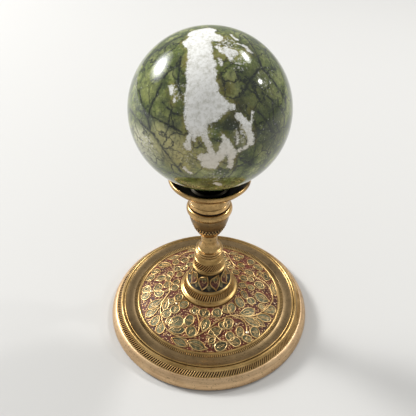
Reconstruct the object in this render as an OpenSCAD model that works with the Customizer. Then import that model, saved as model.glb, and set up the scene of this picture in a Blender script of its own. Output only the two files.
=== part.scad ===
// Polished stone ball on a turned, engraved and lacquered brass stand.
// Millimetres, +Z up. The origin is on the table, on the stand's axis.

/* [Ball] */
// Diameter of the stone ball
ball_d = 80; // [70:1:84]
// Height of the ball's centre above the table
ball_centre_z = 140; // [139.9:0.1:141]

/* [Base] */
// Diameter of the base at its lower edge
base_d = 120; // [116:1:130]
// Height of the joint between the rim hoop and the dome
hoop_top_z = 7; // [6:0.5:7]
// Height of the border rings, where the lacquer field starts
border_z = 9.8; // [9.4:0.1:10]
// Radius inside the border rings
field_r = 42.4; // [41:0.1:43]
// How far the field crowns above a straight cone
field_crown = 0.8; // [0:0.1:1.5]
// Thickness of the dome's wall
dome_wall = 1.6; // [1.2:0.1:2]

/* [Boss] */
// Height of the seat on the dome, where the boss stands
boss_z = 17; // [16:0.5:17]
// Radius of the boss at its foot
boss_r = 17.4; // [17:0.1:17.5]
// Height of the boss's top, where the knob joins
boss_top_z = 46.9; // [46.4:0.1:47.2]

/* [Stem] */
// Height of the neck's top, where the cup joins
neck_top_z = 61.1; // [60:0.1:62]
// Radius of the neck
neck_r = 4.65; // [4.4:0.05:5]
// Radius of the bead round the cup's shoulder
bead_r = 12.7; // [12.2:0.1:13.2]
// Radius of the collars above the bead
collar_r = 11.3; // [11:0.1:11.6]
// Height of the cup's top, where the dish joins
cup_top_z = 85; // [84.5:0.1:85.5]

/* [Dish] */
// Diameter of the dish's rim
dish_d = 44; // [42:0.5:46]
// Height of the dish's rim
dish_rim_z = 101; // [100.5:0.1:101.5]
// Height of the dish's floor
dish_floor_z = 92.5; // [92:0.1:93]

/* [Clamp] */
// Diameter of the tie rod
rod_d = 5; // [4:0.5:5]
// Width across the flats of the nuts
nut_af = 8; // [8:0.5:9]

/* [Hidden] */
$fn = 96;

arc_n = 8;              // steps in a small moulding
curve_n = 14;           // steps in a long curve
play = 0.1;             // clearance round a spigot
bore_r = rod_d / 2 + 0.25;
brass = "#b4945a";
steel = "#8d9095";
lacquer = "#6e3a34";

// underside
base_r = base_d / 2;
felt_h = 1.5;
board_h = 1.2;
felt_proud = 0.7;       // how far the felt stands below the brass
board_r = base_r - 5.2;
board_top_z = felt_h + board_h;
ledge_w = 1.4;          // ledge in the hoop above the board

// hoop
hoop_in_r = board_r + 0.2;
hoop_top_r = base_r - 3;
hoop_belly = 0.9;       // how far its side bulges

// mouldings of the border, from the edge inwards
slope_out_r = base_r - 3.4;
roll_r = 1;
roll_c = [base_r - 6.9, border_z - 0.2];
bead_c = [base_r - 8.5, border_z + 0.2];
ring_bead_r = 0.5;
channel_out_r = base_r - 9;
channel_in_r = base_r - 14.2;
channel_depth = 0.9;
border_bead_r = 0.75;
punched_in_r = field_r + 2 * border_bead_r;

// field of lacquer
lacquer_h = 0.6;
field_in_r = boss_r + 0.3;
field_in_z = boss_z + 0.6;
seat_edge_r = boss_r + 0.05;

// boss
boss_spigot_r = 9;
boss_bore_r = 6;
flange_bead_r = 1;
flange_edge_z = boss_z + 1.2;
cut_band_low = [15.4, 19.7];
cut_band_high = [14, 23.6];
inner_ring_top = [12.8, 25.3];
cove_top = [9.5, 35.4];
petal_h = 0.5;
small_ring_r = 0.9;
small_ring_z = 36.4;
upper_band_low = [8.85, 37.5];
upper_band_high = [8.55, 42.5];
boss_collar_r = 8.15;
joint_groove = 0.35;    // how deep the turned joint lines are
knob_spigot = [4.5, 2.2];

// knob
knob_ring_r = 8.1;
knob_ring_h = 1.6;
lip_r = 0.6;            // rounding of the bell's lip
lip_c = [7.25, 49.4];
bell_h = 5.1;           // how high the bell flares up into the neck
cup_spigot = [3.6, 1.9];

// cup
cup_foot_r = 6;
cup_shoulder = [11.5, 76.4];
cup_bulge = 0.9;
cup_cavity_r = 8.6;
cup_floor_z = neck_top_z + 6;
bead_half_h = 2.3;
bead_z = 79.1;
groove_r = 10.9;
upper_collar_z = cup_top_z - 2.5;

// dish
dish_r = dish_d / 2;
dish_lip = 1.3;
dish_edge_h = 2.1;
dish_collar_top_z = 90.6;
dish_floor_r = 12.4;
dish_spigot_r = cup_cavity_r - play;

// seat
seat_r = 10.6;
seat_in_r = 8.2;
seat_floor = 2;
pad_bottom_z = ball_centre_z - ball_d / 2 - 0.2;
pad_gap = 0.12;         // between the soft ring and the stone
pad_lift = 0.05;        // between the soft ring and the socket
seat_top_z = pad_bottom_z - pad_lift;

// clamp
washer_h = 1.2;
top_washer_z = dish_floor_z + seat_floor;
top_nut_h = 2.8;
base_nut_h = 4;
spring_h = 1.3;
dome_seat_h = 2;
base_washer_top_z = boss_z - dome_seat_h;
base_nut_top_z = base_washer_top_z - washer_h - spring_h;
rod_low_z = base_nut_top_z - base_nut_h - 1.5;
rod_high_z = top_washer_z + washer_h + top_nut_h + 0.6;

// points of an elliptical arc about c, from angle a0 to a1
function arc(c, rx, ry, a0, a1, n = arc_n) =
    [for (i = [0 : n]) let (a = a0 + (a1 - a0) * i / n) c + [rx * cos(a), ry * sin(a)]];

// points from p to q that bulge by h to the right of that direction
function bowed(p, q, h, n = curve_n) =
    let (d = q - p, side = [d[1], -d[0]] / norm(d))
    [for (i = [0 : n]) let (t = i / n) p + d * t + side * h * 4 * t * (1 - t)];

// the crowned field, from its outer edge in to the boss, sunk by drop
function field_line(drop) =
    bowed([field_r, border_z - drop], [field_in_r, field_in_z - drop], field_crown);

// the cove of the boss, from its foot up, drawn in by drop
function cove_line(drop) =
    [for (p = arc([inner_ring_top[0], cove_top[1]], inner_ring_top[0] - cove_top[0],
                  cove_top[1] - inner_ring_top[1], 270, 180, curve_n)) p - [drop, 0]];

// a body of revolution round the stand's axis
module turned(points) {
    rotate_extrude() polygon(points);
}

module ring(outer, inner, z, h) {
    translate([0, 0, z]) difference() {
        cylinder(r = outer, h = h);
        translate([0, 0, -1]) cylinder(r = inner, h = h + 2);
    }
}

module hex_nut(z, h) {
    translate([0, 0, z]) difference() {
        cylinder(r = nut_af / 2 / cos(30), h = h, $fn = 6);
        translate([0, 0, -1]) cylinder(r = rod_d / 2, h = h + 2);
    }
}

module felt_pad() {
    color("#2f3a33") cylinder(r = board_r, h = felt_h);
}

module backing_board() {
    color("#a58a63") translate([0, 0, felt_h]) cylinder(r = board_r, h = board_h);
}

module rim_hoop() {
    color(brass) turned(concat(
        [[hoop_in_r, felt_proud], [base_r - 0.3, felt_proud]],
        bowed([base_r, felt_proud + 0.4], [hoop_top_r, hoop_top_z], hoop_belly),
        [[hoop_in_r - ledge_w, hoop_top_z], [hoop_in_r - ledge_w, board_top_z],
         [hoop_in_r, board_top_z]]));
}

module base_dome() {
    color(brass) turned(concat(
        [[hoop_in_r - ledge_w, hoop_top_z], [slope_out_r, hoop_top_z]],
        arc(roll_c, roll_r, roll_r, 0, 180),
        arc(bead_c, ring_bead_r, ring_bead_r, 0, 180),
        bowed([channel_out_r, border_z + 0.2], [channel_in_r, border_z], -channel_depth),
        [[punched_in_r, border_z]],
        arc([field_r + border_bead_r, border_z], border_bead_r, border_bead_r, 0, 180),
        field_line(lacquer_h),
        [[field_in_r, field_in_z], [seat_edge_r, field_in_z], [seat_edge_r, boss_z],
         [boss_spigot_r + play, boss_z], [boss_spigot_r + play, base_washer_top_z],
         [field_in_r, base_washer_top_z]],
        [for (i = [curve_n : -1 : 0]) field_line(lacquer_h + dome_wall)[i]],
        [[channel_out_r - 1, border_z - channel_depth - dome_wall]]));
}

module field_lacquer() {
    color(lacquer) turned(concat(
        field_line(0),
        [for (i = [curve_n : -1 : 0]) field_line(lacquer_h)[i]]));
}

module neck_boss() {
    color(brass) turned(concat(
        [[boss_bore_r, boss_z + 2], [boss_bore_r + 1, base_washer_top_z + play],
         [boss_spigot_r, base_washer_top_z + play], [boss_spigot_r, boss_z],
         [boss_r, boss_z]],
        arc([boss_r - flange_bead_r, flange_edge_z], flange_bead_r, flange_bead_r, 0, 90),
        [cut_band_low, cut_band_high],
        bowed(cut_band_high, inner_ring_top, 0.5, arc_n),
        cove_line(petal_h),
        arc([cove_top[0] - small_ring_r / 2, small_ring_z], small_ring_r, small_ring_r,
            -90, 90),
        [upper_band_low, upper_band_high,
         [boss_collar_r, upper_band_high[1] + 0.2], [boss_collar_r, boss_top_z - joint_groove],
         [boss_collar_r - joint_groove, boss_top_z],
         [knob_spigot[0] + play, boss_top_z],
         [knob_spigot[0] + play, boss_top_z - knob_spigot[1] - play],
         [bore_r, boss_top_z - knob_spigot[1] - play],
         [bore_r, boss_top_z - knob_spigot[1] - 3],
         [boss_bore_r, boss_top_z - knob_spigot[1] - 5]]));
}

module petal_lacquer() {
    color("#3a2c22") turned(concat(
        cove_line(0),
        [for (i = [curve_n : -1 : 0]) cove_line(petal_h)[i]]));
}

module stem_knob() {
    color(brass) turned(concat(
        [[bore_r, boss_top_z - knob_spigot[1]], [knob_spigot[0], boss_top_z - knob_spigot[1]],
         [knob_spigot[0], boss_top_z], [knob_ring_r - joint_groove, boss_top_z]],
        bowed([knob_ring_r, boss_top_z + joint_groove],
              [knob_ring_r, boss_top_z + knob_ring_h], 0.15, arc_n),
        arc(lip_c, lip_r, lip_r, -90, 90),
        arc(lip_c + [0, lip_r + bell_h], lip_c[0] - neck_r, bell_h, 270, 180, curve_n),
        [[neck_r, neck_top_z], [cup_spigot[0], neck_top_z],
         [cup_spigot[0], neck_top_z + cup_spigot[1]], [bore_r, neck_top_z + cup_spigot[1]]]));
}

module vase_cup() {
    color(brass) turned(concat(
        [[cup_spigot[0] + play, neck_top_z], [cup_foot_r - 0.4, neck_top_z]],
        bowed([cup_foot_r, neck_top_z + 0.4], cup_shoulder, cup_bulge),
        [[cup_shoulder[0] - joint_groove, cup_shoulder[1] + 0.2]],
        arc([collar_r, bead_z], bead_r - collar_r, bead_half_h, -90, 90),
        [[groove_r, bead_z + bead_half_h], [groove_r, upper_collar_z - 0.2],
         [collar_r, upper_collar_z], [collar_r, cup_top_z - joint_groove],
         [collar_r - joint_groove, cup_top_z], [cup_cavity_r, cup_top_z],
         [cup_cavity_r, cup_floor_z + 8], [cup_cavity_r - 3.2, cup_floor_z],
         [bore_r, cup_floor_z], [bore_r, neck_top_z + cup_spigot[1] + play],
         [cup_spigot[0] + play, neck_top_z + cup_spigot[1] + play]]));
}

module rest_dish() {
    color(brass) turned(concat(
        [[bore_r, cup_top_z - 2], [dish_spigot_r, cup_top_z - 2], [dish_spigot_r, cup_top_z],
         [collar_r - joint_groove, cup_top_z], [collar_r, cup_top_z + joint_groove],
         [collar_r, dish_collar_top_z - 0.3], [collar_r - 0.3, dish_collar_top_z]],
        bowed([collar_r, dish_collar_top_z + 0.3], [dish_r - 0.2, dish_rim_z - dish_edge_h], 0.9),
        bowed([dish_r, dish_rim_z - dish_edge_h + 0.3], [dish_r - 0.2, dish_rim_z - 0.4], 0.1,
              arc_n),
        arc([dish_r - 0.2 - dish_lip / 2, dish_rim_z - dish_lip / 2], dish_lip / 2,
            dish_lip / 2, 30, 150),
        bowed([dish_r - 0.2 - dish_lip, dish_rim_z - dish_lip], [dish_floor_r, dish_floor_z],
              -1.4),
        [[bore_r, dish_floor_z]]));
}

module seat_cup() {
    color(brass) turned([
        [bore_r, dish_floor_z], [seat_r, dish_floor_z], [seat_r, dish_floor_z + 1.2],
        [seat_r - 0.9, dish_floor_z + 2], [seat_r - 0.9, seat_top_z - 1.6],
        [seat_r, seat_top_z - 1], [seat_r, seat_top_z], [seat_in_r, seat_top_z],
        [seat_in_r, dish_floor_z + seat_floor], [bore_r, dish_floor_z + seat_floor]]);
}

module tie_rod() {
    color(steel) translate([0, 0, rod_low_z])
        cylinder(r = rod_d / 2, h = rod_high_z - rod_low_z);
}

module base_washer() {
    color(steel) ring(boss_spigot_r + 3.5, rod_d / 2 + 0.15, base_washer_top_z - washer_h, washer_h);
}

module spring_washer() {
    color(steel) difference() {
        ring(nut_af / 2 + 0.3, rod_d / 2 + 0.15, base_nut_top_z, spring_h);
        translate([0, -0.4, base_nut_top_z - 1]) cube([nut_af, 0.8, spring_h + 2]);
    }
}

module base_nut() {
    color(steel) hex_nut(base_nut_top_z - base_nut_h, base_nut_h);
}

module top_washer() {
    color(steel) ring(seat_in_r - 1.7, rod_d / 2 + 0.15, top_washer_z, washer_h);
}

module top_nut() {
    color(steel) hex_nut(top_washer_z + washer_h, top_nut_h);
}

module seat_ring() {
    pad_out_r = seat_r - 0.1;
    pad_in_r = seat_in_r + 0.1;
    hollow_r = ball_d / 2 + pad_gap;
    color("#4a3323") turned(concat(
        [[pad_in_r, pad_bottom_z], [pad_out_r, pad_bottom_z]],
        arc([0, ball_centre_z], hollow_r, hollow_r,
            270 + asin(pad_out_r / hollow_r), 270 + asin(pad_in_r / hollow_r), 4)));
}

module stone_ball() {
    color("#5f6b45") translate([0, 0, ball_centre_z]) sphere(r = ball_d / 2, $fn = 160);
}

felt_pad();
backing_board();
rim_hoop();
base_dome();
field_lacquer();
neck_boss();
petal_lacquer();
stem_knob();
vase_cup();
rest_dish();
seat_cup();
tie_rod();
base_washer();
spring_washer();
base_nut();
top_washer();
top_nut();
seat_ring();
stone_ball();
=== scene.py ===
import math

import bpy
from mathutils import Matrix, Vector


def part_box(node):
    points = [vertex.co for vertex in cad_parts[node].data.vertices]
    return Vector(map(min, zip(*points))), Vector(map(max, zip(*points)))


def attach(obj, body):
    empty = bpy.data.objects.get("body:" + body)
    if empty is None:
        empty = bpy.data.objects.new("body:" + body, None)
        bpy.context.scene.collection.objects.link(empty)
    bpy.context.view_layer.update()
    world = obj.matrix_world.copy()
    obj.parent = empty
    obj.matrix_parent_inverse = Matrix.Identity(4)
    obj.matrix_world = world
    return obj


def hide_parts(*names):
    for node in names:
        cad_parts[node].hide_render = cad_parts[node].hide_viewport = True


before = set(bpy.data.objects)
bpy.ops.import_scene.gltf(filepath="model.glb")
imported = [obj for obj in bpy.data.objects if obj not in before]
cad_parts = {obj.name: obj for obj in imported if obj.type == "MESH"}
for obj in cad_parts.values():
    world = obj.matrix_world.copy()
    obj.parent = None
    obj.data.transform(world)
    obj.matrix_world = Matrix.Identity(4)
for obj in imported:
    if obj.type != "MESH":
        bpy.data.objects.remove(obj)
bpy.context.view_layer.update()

mm = 0.001
fullTurn = 2 * math.pi
weld = 1e-6  # corners closer than this are one corner
print("frame loaded:", len(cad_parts), "pieces")


def pickOnly(*pieces):
    bpy.ops.object.select_all(action="DESELECT")
    for piece in pieces:
        piece.select_set(True)
    bpy.context.view_layer.objects.active = pieces[0]


def called(name):
    piece = bpy.context.object
    piece.name = name
    piece.data.name = name
    return piece


def applyModifier(piece, kind, **settings):
    pickOnly(piece)
    modifier = piece.modifiers.new("work", kind)
    for name, value in settings.items():
        setattr(modifier, name, value)
    bpy.ops.object.modifier_apply(modifier=modifier.name)


def applyPlace(piece):
    pickOnly(piece)
    bpy.ops.object.transform_apply(location=True, rotation=True, scale=True)


def copyOf(piece, name):
    twin = piece.copy()
    twin.data = piece.data.copy()
    bpy.context.collection.objects.link(twin)
    twin.name = name
    twin.data.name = name
    return twin


def smooth(piece, angle=38):
    pickOnly(piece)
    bpy.ops.object.shade_smooth_by_angle(angle=math.radians(angle))


def dress(piece, *materials):
    piece.data.materials.clear()
    for material in materials:
        piece.data.materials.append(material)


def within(radii, heights):
    return lambda radius, height: radii[0] < radius < radii[1] and heights[0] < height < heights[1]


def inCut(low, high, depth, margin):
    # the sunk part of a band that leans inwards from low to high, each (radius, height)
    lean = (low[0] - high[0]) / (high[1] - low[1])

    def wanted(radius, height):
        surface = low[0] - (height - low[1]) * lean
        return low[1] + margin < height < high[1] - margin and radius < surface - depth
    return wanted


def finishFaces(piece, slotIndex, wanted, rising=-2):
    # wanted(radius, height) in millimetres says which faces take that finish, if they look up enough
    for face in piece.data.polygons:
        radius = math.hypot(face.center.x, face.center.y) / mm
        if face.normal.z > rising and wanted(radius, face.center.z / mm):
            face.material_index = slotIndex


def pickFaces(piece, wanted):
    # leaves the piece in edit mode with only the wanted faces selected
    pickOnly(piece)
    bpy.ops.object.mode_set(mode="EDIT")
    bpy.ops.mesh.select_mode(type="FACE")
    bpy.ops.mesh.select_all(action="DESELECT")
    bpy.ops.object.mode_set(mode="OBJECT")
    for face in piece.data.polygons:
        face.select = wanted(face)
    bpy.ops.object.mode_set(mode="EDIT")


def hand(piece, body, slot, *nodes):
    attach(piece, body)
    if nodes:
        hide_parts(*nodes)


# outlines of turned work are lists of (radius, height) in millimetres
def arcPoints(centre, across, up, start, end, steps=8):
    turns = [math.radians(start + (end - start) * i / steps) for i in range(steps + 1)]
    return [(centre[0] + across * math.cos(t), centre[1] + up * math.sin(t)) for t in turns]


def bowedPoints(start, end, bulge, steps=14):
    # bulges to the right of the way from start to end
    dr, dz = end[0] - start[0], end[1] - start[1]
    length = math.hypot(dr, dz)
    points = []
    for i in range(steps + 1):
        t = i / steps
        out = bulge * 4 * t * (1 - t)
        points.append((start[0] + dr * t + dz / length * out, start[1] + dz * t - dr / length * out))
    return points


def turnOnLathe(name, outline, steps=160, edge=0.1):
    # one corner is drawn out along the outline, and the outline is spun round the axis
    bpy.ops.object.select_all(action="DESELECT")
    bpy.ops.mesh.primitive_plane_add(size=mm, location=(0, 0, 0))
    piece = called(name)
    bpy.ops.object.mode_set(mode="EDIT")
    bpy.ops.mesh.select_mode(type="VERT")
    bpy.ops.mesh.select_all(action="SELECT")
    bpy.ops.mesh.merge(type="CENTER")
    bpy.ops.transform.translate(value=(outline[0][0] * mm, 0, outline[0][1] * mm))
    for here, there in zip(outline, outline[1:] + outline[:1]):
        step = ((there[0] - here[0]) * mm, 0, (there[1] - here[1]) * mm)
        bpy.ops.mesh.extrude_region_move(TRANSFORM_OT_translate={"value": step})
    bpy.ops.mesh.select_all(action="SELECT")
    bpy.ops.mesh.remove_doubles(threshold=weld)
    bpy.ops.mesh.select_all(action="SELECT")
    bpy.ops.mesh.spin(steps=steps, angle=fullTurn, center=(0, 0, 0), axis=(0, 0, 1))
    bpy.ops.mesh.select_all(action="SELECT")
    bpy.ops.mesh.remove_doubles(threshold=weld)
    bpy.ops.mesh.normals_make_consistent(inside=False)
    bpy.ops.object.mode_set(mode="OBJECT")
    if edge:
        applyModifier(piece, "BEVEL", width=edge * mm, segments=2, limit_method="ANGLE",
                      angle_limit=math.radians(28))
    smooth(piece)
    return piece


def copyRound(piece, count):
    pickOnly(piece)
    bpy.ops.object.mode_set(mode="EDIT")
    bpy.ops.mesh.select_all(action="SELECT")
    bpy.ops.mesh.spin(steps=count - 1, angle=fullTurn * (count - 1) / count, dupli=True,
                      center=(0, 0, 0), axis=(0, 0, 1))
    bpy.ops.object.mode_set(mode="OBJECT")


barWork = {"softened": 0.28, "crossCuts": (-0.25, 0, 0.25)}  # shares of a bar's width and length


def cutBars(name, low, high, count, width, depth, slant=0.0):
    # one bar with a softened top lies along the band, is copied round, and leans over by slant degrees
    length = math.dist(low, high)
    lean = math.atan2(low[0] - high[0], high[1] - low[1])
    bpy.ops.object.select_all(action="DESELECT")
    bpy.ops.mesh.primitive_cube_add(size=mm)
    bar = called(name)
    bar.scale = (depth, width, length)
    applyPlace(bar)
    for edge in bar.data.edges:
        ends = [bar.data.vertices[v].co for v in edge.vertices]
        edge.select = all(e.x > 0 for e in ends) and abs(ends[0].z - ends[1].z) > length * mm / 2
    for face in bar.data.polygons:
        face.select = False
    bpy.ops.object.mode_set(mode="EDIT")
    bpy.ops.mesh.select_mode(type="EDGE")
    bpy.ops.mesh.bevel(offset=width * barWork["softened"] * mm, segments=1)
    for share in barWork["crossCuts"] if slant else ():
        bpy.ops.mesh.select_all(action="SELECT")
        bpy.ops.mesh.bisect(plane_co=(0, 0, share * length * mm), plane_no=(0, 0, 1))
    bpy.ops.object.mode_set(mode="OBJECT")
    bar.rotation_euler = (0, -lean, 0)
    bar.location = (((low[0] + high[0]) / 2 - math.cos(lean) * depth / 2) * mm, 0,
                    ((low[1] + high[1]) / 2 - math.sin(lean) * depth / 2) * mm)
    applyPlace(bar)
    copyRound(bar, count)
    if slant:
        applyModifier(bar, "SIMPLE_DEFORM", deform_method="TWIST", deform_axis="Z",
                      angle=math.radians(slant))
    smooth(bar, 30)
    return bar


def paint(red, green, blue):
    # a colour as it is named on screen, 0 to 255
    def level(value):
        value /= 255
        return value / 12.92 if value <= 0.04045 else ((value + 0.055) / 1.055) ** 2.4
    return (level(red), level(green), level(blue), 1)


def addNode(tree, kind, inputs=None, **settings):
    made = tree.nodes.new("ShaderNode" + kind)
    for name, value in settings.items():
        setattr(made, name, value)
    for name, value in (inputs or {}).items():
        wire(tree, made.inputs[name], value)
    return made


def wire(tree, socket, value):
    if isinstance(value, bpy.types.Node):
        value = value.outputs[0]
    if isinstance(value, bpy.types.NodeSocket):
        tree.links.new(value, socket)
    else:
        socket.default_value = value


def calc(tree, operation, *values, clamp=False):
    return addNode(tree, "Math", dict(enumerate(values)), operation=operation, use_clamp=clamp)


def vectorCalc(tree, operation, *values):
    return addNode(tree, "VectorMath", dict(enumerate(values)), operation=operation)


def scaled(tree, vector, factor):
    return addNode(tree, "VectorMath", {0: vector, "Scale": factor}, operation="SCALE")


def spread(tree, value, start, end, atStart=0.0, atEnd=1.0, **settings):
    # goes from atStart to atEnd as the value goes from start to end
    return addNode(tree, "MapRange", {0: value, 1: start, 2: end, 3: atStart, 4: atEnd}, **settings)


def eased(tree, value, start, end, atStart, atEnd):
    return spread(tree, value, start, end, atStart, atEnd, interpolation_type="SMOOTHSTEP")


def noise(tree, place, scale, detail=4.0, rough=0.6, **more):
    inputs = {"Vector": place, "Scale": scale, "Detail": detail, "Roughness": rough, **more}
    return addNode(tree, "TexNoise", inputs)


def ramp(tree, factor, *stops):
    # stops are (place, grey level) or (place, colour)
    made = addNode(tree, "ValToRGB", {0: factor})
    elements = made.color_ramp.elements
    elements[0].position, elements[1].position = stops[0][0], stops[-1][0]
    for place, value in stops[1:-1]:
        elements.new(place)
    for element, (place, value) in zip(elements, stops):
        element.color = value if isinstance(value, tuple) else (value, value, value, 1)
    return made


def mixed(tree, factor, first, second, way="MIX"):
    made = addNode(tree, "Mix", {0: factor, 6: first, 7: second}, data_type="RGBA", blend_type=way)
    return made.outputs[2]


def startMaterial(name):
    material = bpy.data.materials.new(name)
    material.use_nodes = True
    tree = material.node_tree
    shader = tree.nodes["Principled BSDF"]
    place = addNode(tree, "TexCoord").outputs["Object"]
    return material, tree, shader, place


def bumpy(tree, shader, height, depth, strength=1.0):
    bump = addNode(tree, "Bump", {"Height": height, "Distance": depth * mm, "Strength": strength})
    wire(tree, shader.inputs["Normal"], bump)


# the grime colour also serves as painted shade in the corners
brassWork = {
    "grimeAndCornerShade": paint(40, 28, 18), "toneSpan": (0.36, 0.62), "clouds": 70.0, "spots": 900.0,
    "coneSlope": 0.6, "linesAcross": 1500.0, "linesRound": 45.0, "lineDepth": 0.02,
}


def agedBrass(name, bright, dull, rough=(0.22, 0.42), lines=0.5, grimeAndShadeReach=0.9):
    # lathe lines run round the axis, patina lies in clouds, and dark grime sits in the corners, laid by an
    # occlusion mask that also paints shade there
    material, tree, shader, place = startMaterial(name)
    flat = vectorCalc(tree, "MULTIPLY", place, (1, 1, 0))
    radius = vectorCalc(tree, "LENGTH", flat).outputs[1]
    height = addNode(tree, "SeparateXYZ", {0: place}).outputs[2]
    cone = calc(tree, "SUBTRACT", radius, calc(tree, "MULTIPLY", height, brassWork["coneSlope"]))
    latheLines = addNode(tree, "TexNoise", {
        "Vector": scaled(tree, flat, brassWork["linesRound"]),
        "W": calc(tree, "MULTIPLY", cone, brassWork["linesAcross"]),
        "Scale": 1.0, "Detail": 3.0, "Roughness": 0.7}, noise_dimensions="4D")
    clouds = noise(tree, place, brassWork["clouds"], 6.0, 0.65)
    fine = noise(tree, place, brassWork["spots"], 3.0, 0.6)
    lineShare = lines / 2
    tone = calc(tree, "ADD", calc(tree, "MULTIPLY", clouds, 1.0 - lineShare),
                calc(tree, "MULTIPLY", latheLines, lineShare))
    dark, pale = brassWork["toneSpan"]
    colour = ramp(tree, tone, (dark, dull), (pale, bright))
    spots = ramp(tree, fine, (0.30, 0.45), (0.42, 1.0))
    colour = mixed(tree, 1.0, colour, spots, "MULTIPLY")
    # painted shade with grime: ambient occlusion darkens every corner and recess with the grime colour
    corner = addNode(tree, "AmbientOcclusion", {"Distance": grimeAndShadeReach * mm}, samples=6)
    grimeAndShadeMask = ramp(tree, corner.outputs["AO"], (0.30, 0.9), (0.80, 0.0))
    wire(tree, shader.inputs["Base Color"], mixed(tree, grimeAndShadeMask, colour, brassWork["grimeAndCornerShade"]))
    shader.inputs["Metallic"].default_value = 1.0
    wire(tree, shader.inputs["Roughness"], ramp(tree, tone, (dark, rough[1]), (pale, rough[0])))
    bumpy(tree, shader, latheLines, brassWork["lineDepth"])
    return material


satinBrass = agedBrass("satinBrass", paint(228, 196, 153), paint(184, 151, 113), (0.36, 0.48), 0.9)
ringBrass = agedBrass("ringBrass", paint(204, 170, 112), paint(134, 106, 62), (0.28, 0.42), 0.5)
channelBrass = agedBrass("channelBrass", paint(154, 130, 94), paint(106, 88, 62), (0.32, 0.46), 0.6)
# darker brass under the punched ticks is painted shade between them
shadedTickBrass = agedBrass("shadedTickBrass", paint(104, 82, 54), paint(62, 48, 32), (0.4, 0.55), 0.2)
stemBrass = agedBrass("stemBrass", paint(210, 172, 114), paint(116, 94, 62), (0.2, 0.4), 0.4, 1.4)
cutBrass = agedBrass("cutBrass", paint(226, 188, 126), paint(168, 130, 80), (0.34, 0.48), 0.2, 0.15)
raisedBrass = agedBrass("raisedBrass", paint(228, 196, 140), paint(164, 126, 70), (0.34, 0.46), 0.1, 0.35)
# the studs' near-white brass is a painted highlight
studHighlightBrass = agedBrass("studHighlightBrass", paint(255, 240, 208), paint(232, 204, 156), (0.3, 0.4), 0.1, 0.1)


def mottledFinish(name, grain, low, high, rough, depth=0.0, plain=None):
    # one noise, grain, sets the colour from low to high, the roughness if it varies, and the bump
    material, tree, shader, place = startMaterial(name)
    mottle = noise(tree, place, *grain)
    wire(tree, shader.inputs["Base Color"], ramp(tree, mottle, low, high))
    if isinstance(rough, tuple):
        rough = ramp(tree, mottle, *rough)
    wire(tree, shader.inputs["Roughness"], rough)
    for socket, value in (plain or {}).items():
        shader.inputs[socket].default_value = value
    if depth:
        bumpy(tree, shader, mottle, depth)
    return material


# near-black grime at the bottom of the cut bands, which also paints the shade that falls in them
grimeAndShadeFloor = mottledFinish("grimeAndShadeFloor", (1400.0, 3.0), (0.35, paint(14, 9, 7)), (0.7, paint(50, 26, 20)),
                             0.7, 0.1, {"Specular IOR Level": 0.2})
# the dish is painted near-black inside as the shade and dark reflection under the ball, and is still glossy
paintedShadeDish = mottledFinish("paintedShadeDish", (160.0, 5.0), (0.35, paint(20, 18, 10)),
                             (0.7, paint(44, 38, 24)), ((0.3, 0.36), (0.7, 0.5)), 0.0,
                             {"Metallic": 0.85})
darkLacquer = mottledFinish("blackLacquer", (420.0, 5.0, 0.7), (0.42, paint(16, 14, 10)),
                            (0.74, paint(70, 60, 40)), ((0.3, 0.4), (0.7, 0.55)), 0.05,
                            {"Specular IOR Level": 0.22})
greyBoard = mottledFinish("greyBoard", (500.0, 6.0, 0.7), (0.3, paint(168, 146, 112)),
                          (0.7, paint(200, 180, 146)), 0.85, 0.06)


lacquerGround = {"cell": 1050.0, "redLight": paint(112, 52, 34), "redDark": paint(50, 22, 14),
                 "grain": paint(206, 172, 122)}


def stippledLacquer():
    # red lacquer fills a punched ground, and the brass shows through it as grains
    material, tree, shader, place = startMaterial("stippledLacquer")
    cells = addNode(tree, "TexVoronoi", {"Vector": place, "Scale": lacquerGround["cell"]})
    pickOut = calc(tree, "GREATER_THAN", addNode(tree, "SeparateColor", {0: cells.outputs["Color"]}), 0.3)
    dots = calc(tree, "MULTIPLY", ramp(tree, cells.outputs["Distance"], (0.30, 1.0), (0.46, 0.0)), pickOut)
    thick = noise(tree, place, 260.0, 5.0)
    red = ramp(tree, thick, (0.32, lacquerGround["redDark"]), (0.68, lacquerGround["redLight"]))
    wire(tree, shader.inputs["Base Color"], mixed(tree, dots, red, lacquerGround["grain"]))
    wire(tree, shader.inputs["Metallic"], calc(tree, "MULTIPLY", dots, 0.9))
    wire(tree, shader.inputs["Roughness"], ramp(tree, thick, (0.3, 0.45), (0.7, 0.6)))
    shader.inputs["Specular IOR Level"].default_value = 0.25
    bumpy(tree, shader, dots, 0.12)
    return material


def leafFinish():
    # leaves are dulled green, with brass rubbed through on the high spots
    material, tree, shader, place = startMaterial("dulledLeaf")
    mottle = noise(tree, place, 620.0, 5.0, 0.7)
    broad = noise(tree, place, 120.0, 3.0)
    green = ramp(tree, broad, (0.35, paint(56, 54, 34)), (0.5, paint(80, 77, 49)), (0.66, paint(98, 99, 70)))
    rubbed = ramp(tree, mottle, (0.50, 0.0), (0.66, 1.0))
    colour = mixed(tree, rubbed, green, paint(170, 144, 98))
    colour = mixed(tree, ramp(tree, mottle, (0.30, 0.8), (0.42, 0.0)), colour, paint(36, 30, 20))
    wire(tree, shader.inputs["Base Color"], colour)
    shader.inputs["Metallic"].default_value = 0.45
    wire(tree, shader.inputs["Roughness"], ramp(tree, mottle, (0.35, 0.5), (0.7, 0.36)))
    bumpy(tree, shader, mottle, 0.12)
    return material


petalTurnsGreen = (31.8, 32.8)  # from this height to this, in mm, with up to 2 mm of noise added


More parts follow.
